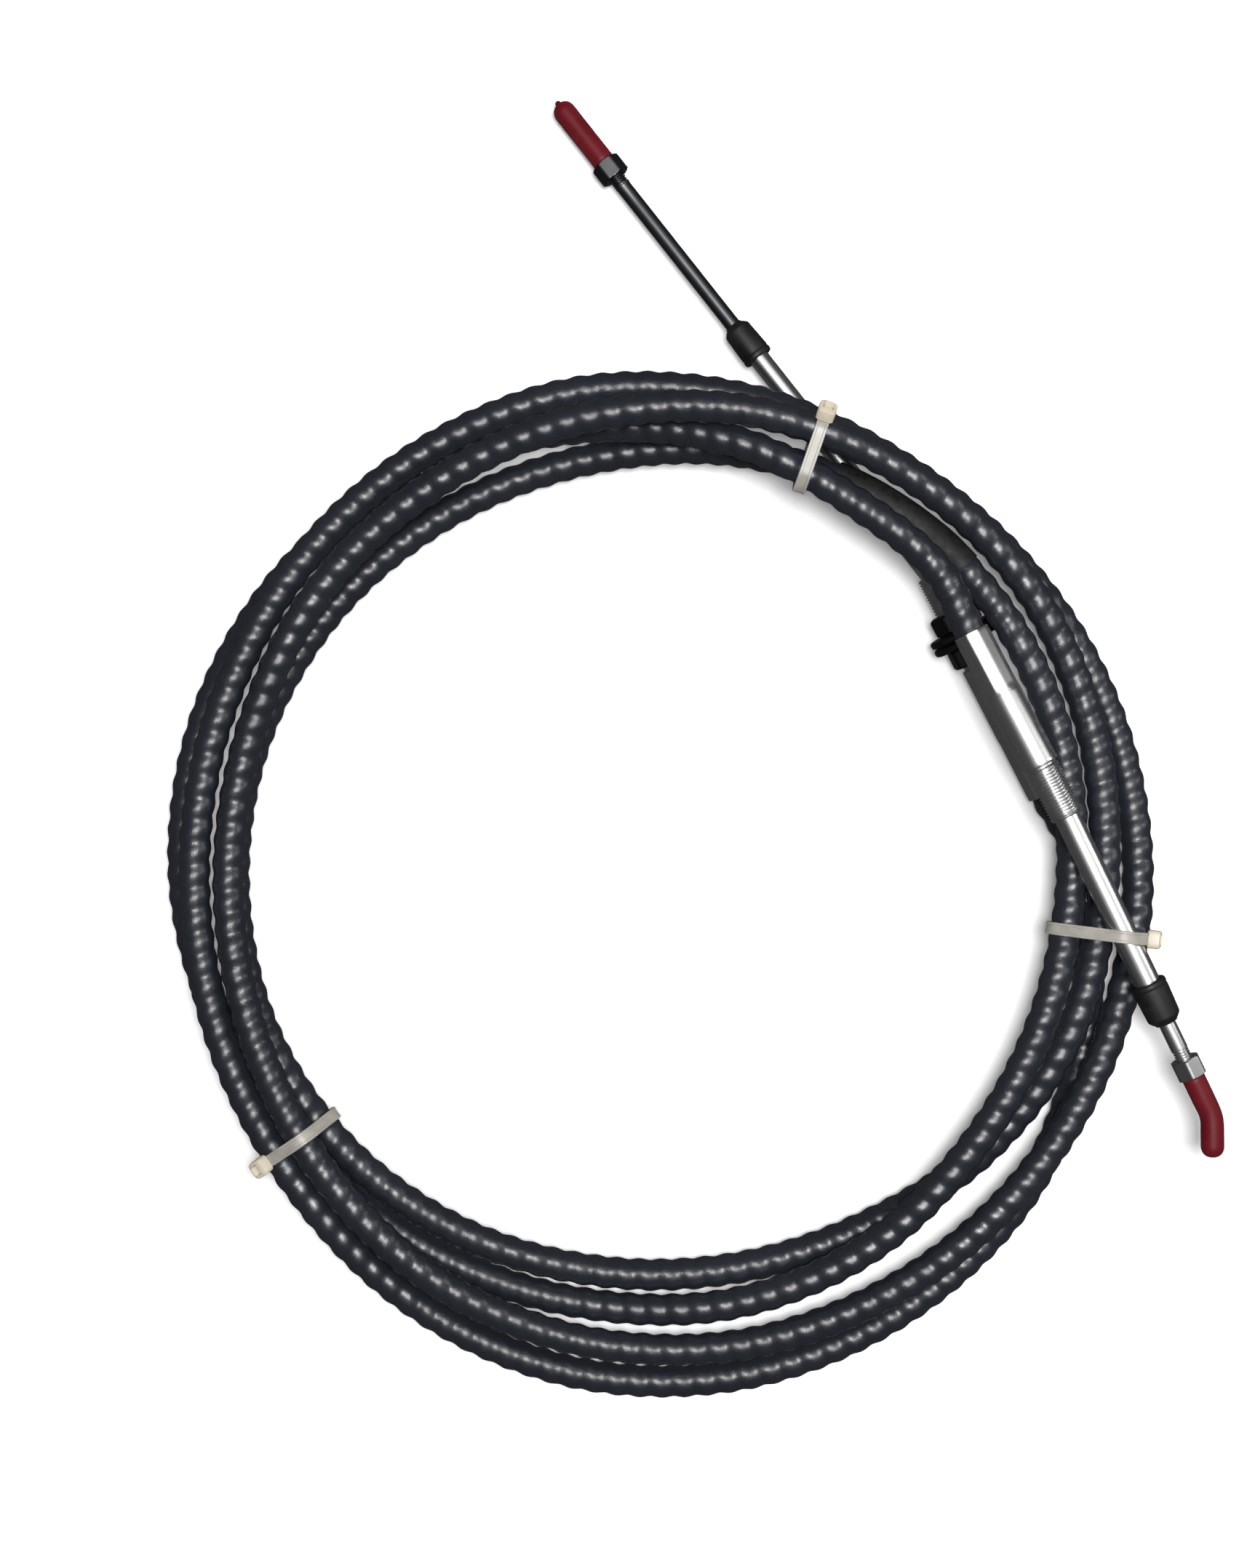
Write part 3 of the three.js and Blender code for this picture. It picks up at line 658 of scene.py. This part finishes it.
def rod_seal(end):
    start, finish = seal_start(end), seal_end(end)
    seat = finish - SEAL_NOSE
    side = end["seal_radius"]
    on_tube, on_rod = end["tube_radius"] + 0.08, end["rod_radius"] + 0.1
    profile = softened([
        (start, on_tube), (start - 0.3, end["tube_radius"] + 1.1),
        (start, side - 0.3), (start + 1, side), (start + 2.3, side - 0.05),
        (start + 2.8, side - 0.45), (start + 3.4, side - 0.1), (finish - 3.4, side - 0.62),
        (finish - 2.7, side - 0.9), (finish - 0.9, side - 2.5), (finish - 0.7, side - 3),
        (finish, side - 3.1), (finish, on_rod), (seat, on_rod), (seat, on_tube),
    ], 0.5)
    mesh = grid_mesh("seal_" + end["letter"], lathe_rings(profile, 64), profile_lengths(profile), loop=True,
                     sharp=60)
    return piece("seal_" + end["letter"], mesh, RUBBER, "cable",
                 ["rod_seal_" + end["letter"]], swivel_matrix(end))


def push_rod(end):
    inside = HELD_IN_TUBE + STROKE - end["travelled"]
    inner_end = seal_end(end) - inside
    tip = cap_start(end) + ROD_IN_CAP
    thread_from = nut_start(end) - THREAD_SHOWING
    radius = end["rod_radius"]
    coarse = softened([
        (inner_end, AXIS_RADIUS), (inner_end, radius), (thread_from - 0.3, radius),
        (thread_from, ROD_THREAD_RADIUS), (tip - 1, ROD_THREAD_RADIUS), (tip, ROD_THREAD_RADIUS - 1),
        (tip, AXIS_RADIUS),
    ], 0.2, closed=False)

    def step_between(here, after):
        threaded = here[0] >= thread_from - 0.05 and after[0] <= tip - 0.5
        return ROD_THREAD_PITCH / STEPS_PER_THREAD if threaded else 12

    profile = stepped(coarse, step_between, closed=False)

    def radius_at(x, r, angles):
        radii = np.full(len(angles), float(r))
        if thread_from < x < tip - 0.6 and r > 3:
            ease = np.clip((x - thread_from) / 0.8, 0, 1)
            radii = radii - thread_depth(x, angles, ROD_THREAD_PITCH, ROD_THREAD_DEPTH) * ease
        return radii

    mesh = grid_mesh("rod_" + end["letter"], lathe_rings(profile, 48, radius_at), profile_lengths(profile),
                     sharp=32)
    # Rod b takes the steel with painted shade.
    material = STEEL if end["letter"] == "a" else SHADED_ROD_STEEL
    return piece("rod_" + end["letter"], mesh, material, "rod_" + end["letter"],
                 ["push_rod_" + end["letter"]], swivel_matrix(end))


def hex_nut(name, at, length, across_flats, hole, material, body, stands_for, matrix, turn=0):
    """A hexagon with cone-shaped chamfers at both faces and a countersunk hole."""
    half = across_flats / 2
    corner = half / math.cos(math.radians(30))
    face_radius = half * NUT_FACE
    rise = (corner - face_radius) * math.tan(math.radians(30))
    sides = [(rise * s, face_radius + (corner - face_radius) * s) for s in np.linspace(0, 1, 7)]
    profile = ([(0.5, hole), (0, hole + 0.5)] + sides
               + [(length - x, r) for x, r in sides[::-1]] + [(length, hole + 0.5), (length - 0.5, hole)])

    def radius_at(x, r, angles):
        if r <= hole + 0.6:
            return np.full(len(angles), float(r))
        off = np.mod(angles + turn + math.pi / 6, math.pi / 3) - math.pi / 6
        flat = half / np.cos(off)
        worn = corner - NUT_CORNER_WEAR * across_flats
        flat = np.minimum(flat, worn + 0.15 * (flat - worn).clip(0))
        return np.minimum(flat, r)

    profile = [(at + x, r) for x, r in profile]
    mesh = grid_mesh(name, lathe_rings(profile, 96, radius_at),
                     profile_lengths(profile), loop=True, sharp=24)
    return piece(name, mesh, material, body, stands_for, matrix)


def end_cap(end):
    side, length = end["cap_radius"], end["cap_length"]
    bend = math.radians(end["cap_bend"])
    bend_from = ROD_IN_CAP + GAP
    bend_to = bend_from + CAP_BEND_LENGTH
    inner = ROD_THREAD_RADIUS + CAP_INNER_GAP
    pinch = 0.12 if bend else 0
    dome = length - CAP_DOME
    hollow = [(bend_from, CAP_TIP_RADIUS), (bend_from, inner), (12, inner), (8, inner), (4, inner),
              (0, inner)]
    outer = [(0, side - 0.25), (0.4, side)]
    outer += [(x, side - pinch * math.exp(-((x - 18) / 5) ** 2)) for x in range(2, length - 5)]
    outer += [(dome + CAP_DOME * math.sin(a), side * math.cos(a) ** 0.8) for a in np.radians(range(0, 86, 7))]
    if end["cap_nib"]:
        outer += [(length, 1.5), (length + end["cap_nib"] * 0.7, 1.2), (length + end["cap_nib"], 0.5)]
    whole = np.array(hollow + outer + [(length + end["cap_nib"], CAP_TIP_RADIUS)])
    rings = lathe_rings(whole, 48)
    if bend:
        x, y = rings[..., 0].copy(), rings[..., 1].copy()
        angle = bend * np.clip((x - bend_from) / (bend_to - bend_from), 0, 1)
        arc_radius = (bend_to - bend_from) / bend
        past = np.clip(x - bend_to, 0, None)
        centre_x = bend_from + arc_radius * np.sin(angle) + past * np.cos(angle)
        centre_x = np.where(x < bend_from, x, centre_x)
        centre_y = np.where(x < bend_from, 0, -arc_radius * (1 - np.cos(angle)) - past * np.sin(angle))
        rings[..., 0] = centre_x + y * np.sin(angle)
        rings[..., 1] = centre_y + y * np.cos(angle)
    rings[..., 0] += cap_start(end)
    mesh = grid_mesh("cap_" + end["letter"], rings, profile_lengths(whole), sharp=50)
    return piece("cap_" + end["letter"], mesh, VINYL, "rod_" + end["letter"],
                 ["end_cap_" + end["letter"]], swivel_matrix(end))


for cable_end in (END_A, END_B):
    letter = cable_end["letter"]
    hub(cable_end)
    swivel_tube(cable_end)
    rod_seal(cable_end)
    push_rod(cable_end)
    # Nut b takes the zinc with painted shade.
    hex_nut("nut_" + letter, nut_start(cable_end), NUT_LENGTH, NUT_ACROSS_FLATS, ROD_THREAD_RADIUS + 0.1,
            ZINC if cable_end is END_A else SHADED_NUT_ZINC, "rod_" + letter,
            ["rod_nut_" + letter], swivel_matrix(cable_end), math.radians(cable_end["nut_turn"]))
    end_cap(cable_end)


# Nuts and washers on the second hub, in steel with painted shade
hub_b_matrix = placed(mouth_of(END_B), END_B["heading"], END_B["pitch"])
outer_face = hub_length(END_B)
nut_outer_at = outer_face - BULKHEAD_NUT_AT - BULKHEAD_NUT_LENGTH
washer_outer_at = nut_outer_at - GAP - WASHER_THICKNESS
washer_inner_at = washer_outer_at - WASHER_SPACE - WASHER_THICKNESS
nut_inner_at = washer_inner_at - GAP - BULKHEAD_NUT_LENGTH
for name, at in (("outer", nut_outer_at), ("inner", nut_inner_at)):
    hex_nut("bulkhead_nut_piece_" + name, at, BULKHEAD_NUT_LENGTH, BULKHEAD_FLATS, THREAD_RADIUS + 0.1,
            SHADED_BULKHEAD_STEEL, "cable", ["bulkhead_nut_" + name], hub_b_matrix,
            math.radians(8 if name == "outer" else 27))
for name, at in (("outer", washer_outer_at), ("inner", washer_inner_at)):
    profile = softened([
        (at, THREAD_RADIUS + GAP), (at, WASHER_RADIUS), (at + WASHER_THICKNESS, WASHER_RADIUS),
        (at + WASHER_THICKNESS, THREAD_RADIUS + GAP),
    ], 1.1)
    mesh = grid_mesh("washer_" + name, lathe_rings(profile, 80), profile_lengths(profile),
                     loop=True, sharp=60)
    piece("washer_" + name, mesh, SHADED_BULKHEAD_STEEL, "cable", ["bulkhead_washer_" + name], hub_b_matrix)


# Ties
def sections_at(line, radius, angle):
    """Ellipses where a line of the cable passes the upright half plane at an angle."""
    outward = np.array([math.cos(angle), math.sin(angle), 0])
    round_way = np.array([-math.sin(angle), math.cos(angle), 0])
    sections = []
    for before, after in zip(line[:-1], line[1:]):
        a, b = before @ round_way, after @ round_way
        if a * b > 0 or after @ outward < 0:
            continue
        point = before + (after - before) * (a / (a - b))
        run = (after - before) / np.linalg.norm(after - before)
        straight = abs(run @ round_way)
        aside, climb = abs(run @ outward) / straight, abs(run[2]) / straight
        sections.append((point @ outward, point[2],
                         radius * math.hypot(1, aside) + STRAP_WIDTH / 2 * aside,
                         radius * math.hypot(1, climb) + STRAP_WIDTH / 2 * climb))
    return sections


def outline_round(sections, margin):
    """The tight outline round the ellipses, evenly spaced and anticlockwise."""
    cloud = []
    for across_at, height, half_width, half_height in sections:
        for turn in np.linspace(0, 2 * math.pi, 120, endpoint=False):
            cloud.append((across_at + (half_width + margin) * math.cos(turn),
                          height + (half_height + margin) * math.sin(turn)))
    cloud = sorted(cloud)

    def half_hull(points):
        hull = []
        for p in points:
            while len(hull) > 1:
                a, b = hull[-2:]
                if (b[0] - a[0]) * (p[1] - a[1]) - (b[1] - a[1]) * (p[0] - a[0]) > 1e-6:
                    break
                hull.pop()
            hull.append(p)
        return hull[:-1]

    hull = np.array(half_hull(cloud) + half_hull(cloud[::-1]))
    closed = np.vstack([hull, hull[:1]])
    travelled = lengths_along(closed)
    at = np.linspace(0, travelled[-1], OUTLINE_POINTS, endpoint=False)
    return np.stack([np.interp(at, travelled, closed[:, k]) for k in range(2)], axis=1)


def cable_tie(tie, lines):
    angle = math.radians(tie["angle"])
    sections = [s for line, radius in lines for s in sections_at(line, radius, angle)]
    middle_line = outline_round(sections, LOOSE + STRAP_THICKNESS / 2)
    ahead = np.roll(middle_line, -1, axis=0) - np.roll(middle_line, 1, axis=0)
    ahead /= np.linalg.norm(ahead, axis=1)[:, None]
    normal = np.stack([ahead[:, 1], -ahead[:, 0]], axis=1)
    half_w, half_t, edge = STRAP_WIDTH / 2, STRAP_THICKNESS / 2, 0.3
    shape = [(half_w, -half_t + edge), (half_w, half_t - edge), (half_w - edge, half_t),
             (half_w - 1.1, half_t), (half_w - 1.35, half_t - 0.22), (-half_w + 1.35, half_t - 0.22),
             (-half_w + 1.1, half_t), (-half_w + edge, half_t), (-half_w, half_t - edge),
             (-half_w, -half_t + edge), (-half_w + edge, -half_t), (half_w - edge, -half_t)]
    rings = []
    for k in range(len(middle_line)):
        rings.append([(middle_line[k][0] + normal[k][0] * out, wide, middle_line[k][1] + normal[k][1] * out)
                      for wide, out in shape])
    strap = grid_mesh(tie["name"] + "_strap", rings, np.arange(len(rings)) * 1.0, loop=True, sharp=35)
    matrix = placed((0, 0, 0), tie["angle"], 0)
    piece(tie["name"] + "_strap", strap, STRAP_NYLON, "cable", [tie["name"]], matrix)

    outer = middle_line + normal * half_t
    centre = outer.mean(axis=0)
    aim = math.radians(tie["head_towards"])
    towards = np.array([math.cos(aim), math.sin(aim)])
    offsets = outer - centre
    ahead_of = offsets @ towards > 0
    off_line = np.where(ahead_of, np.abs(offsets[:, 0] * towards[1] - offsets[:, 1] * towards[0]), 1e9)
    seat = int(off_line.argmin())
    head_matrix = head_frame(outer[seat], -ahead[seat], normal[seat])
    tie_head(tie, matrix @ head_matrix)


def head_frame(point, way, out):
    """Matrix of the head's own frame in the tie's plane: X along the strap and Z away from it."""
    x = Vector((way[0], 0, way[1]))
    z = Vector((out[0], 0, out[1]))
    y = z.cross(x)
    turn = Matrix((x, y, z)).transposed().to_4x4()
    return Matrix.Translation(Vector((point[0] * MM, 0, point[1] * MM))) @ turn


def tie_head(tie, matrix):
    """The locking head: a rounded block with an open slot, and the strap's cut tail out of it."""
    low, high = -HEAD_SINK, HEAD_HEIGHT - HEAD_SINK
    levels = [(low, 0.5), (low + 0.5, 0), (high - 1.4, 0), (high - 0.5, 0.22), (high, 0.95)]
    slot_levels = [(high, (2.6, 1.5)), (high - 0.3, (2.35, 1.3)), (high - 2.6, (2.35, 1.3))]
    count = 48
    turn = 2 * math.pi * np.arange(count) / count

    def rounded(half_x, half_y, power=5):
        c, s = np.cos(turn), np.sin(turn)
        reach = (np.abs(c / half_x) ** power + np.abs(s / half_y) ** power) ** (-1 / power)
        return np.stack([c * reach, s * reach], axis=-1)

    rings = []
    for z, inset in levels:
        flat = rounded(HEAD_LENGTH / 2 - inset, HEAD_WIDTH / 2 - inset)
        rings.append(np.column_stack([flat, np.full(count, z)]))
    for z, (half_y, half_x) in slot_levels:
        flat = rounded(half_x, half_y, 8)
        rings.append(np.column_stack([flat, np.full(count, z)]))
    mesh = grid_mesh(tie["name"] + "_head", rings, np.arange(len(rings)) * 2.0, sharp=40)
    piece(tie["name"] + "_head", mesh, HEAD_NYLON, "cable", (), matrix)

    thick, wide = 0.55, 1.95
    tail_rings = []
    for step in np.linspace(0, 1, 9):
        height = high - 2.2 + step * 4.4
        lean = 0.5 * step ** 2
        tail_rings.append([(lean + x, y, height) for x, y in
                           ((thick, -wide), (thick, wide), (-thick, wide), (-thick, -wide))])
    tail_mesh = grid_mesh(tie["name"] + "_tail", tail_rings, np.linspace(0, 4, 9), sharp=40)
    piece(tie["name"] + "_tail", tail_mesh, HEAD_NYLON, "cable", (), matrix)


def tube_line(end):
    start = swivel_centre(end)
    run = direction(end["tube_heading"], end["tube_pitch"])
    return np.array([start, start + run * seal_start(end)])


tie_lines = [
    (jacket_line[::12], JACKET_RADIUS),
    (tube_line(END_A), END_A["tube_radius"]),
    (tube_line(END_B), END_B["tube_radius"]),
]
for tie in TIES:
    cable_tie(tie, tie_lines)


# Floor and studio light, in metres
FLOOR_HALF = 6
FLOOR_BELOW = 0.0004


def floor():
    mesh = bpy.data.meshes.new("floor")
    corners = [(-FLOOR_HALF, -FLOOR_HALF, 0), (FLOOR_HALF, -FLOOR_HALF, 0),
               (FLOOR_HALF, FLOOR_HALF, 0), (-FLOOR_HALF, FLOOR_HALF, 0)]
    mesh.from_pydata(corners, [], [(0, 1, 2, 3)])
    thing = bpy.data.objects.new("floor", mesh)
    bpy.context.scene.collection.objects.link(thing)
    thing.location = (0, 0, -FLOOR_BELOW)
    material, _, shader = new_material("floor_pale")
    shader.inputs["Base Color"].default_value = (0.93, 0.93, 0.93, 1)
    shader.inputs["Emission Color"].default_value = (1, 1, 1, 1)
    shader.inputs["Emission Strength"].default_value = 0.14
    shader.inputs["Roughness"].default_value = 0.8
    shader.inputs["Specular IOR Level"].default_value = 0.1
    mesh.materials.append(material)
    thing.visible_glossy = False


def soft_light(name, at, aim, width, height, watts):
    data = bpy.data.lights.new(name, "AREA")
    data.shape = "RECTANGLE"
    data.size = width
    data.size_y = height
    data.energy = watts
    thing = bpy.data.objects.new(name, data)
    bpy.context.scene.collection.objects.link(thing)
    thing.location = at
    thing.rotation_euler = (Vector(aim) - Vector(at)).to_track_quat("-Z", "Y").to_euler()


floor()
soft_light("lamp", (0.10, 0.05, 1.9), (0.10, 0.05, 0), 0.5, 0.5, 36)
soft_light("panel_right", (1.25, 0.35, 1.9), (1.25, 0.35, 0), 1.6, 2.4, 9)
soft_light("fill", (-0.2, -0.1, 3.4), (-0.2, -0.1, 0), 4.5, 4.5, 14)
soft_light("strip_right", (1.82, 0.45, 1.0), (0, 0, 0), 0.16, 0.8, 5)
world = bpy.data.worlds.new("studio")
world.use_nodes = True
background = world.node_tree.nodes["Background"]
background.inputs["Color"].default_value = (1, 1, 1, 1)
background.inputs["Strength"].default_value = 0.055
bpy.context.scene.world = world
bpy.context.scene.view_settings.view_transform = "Standard"
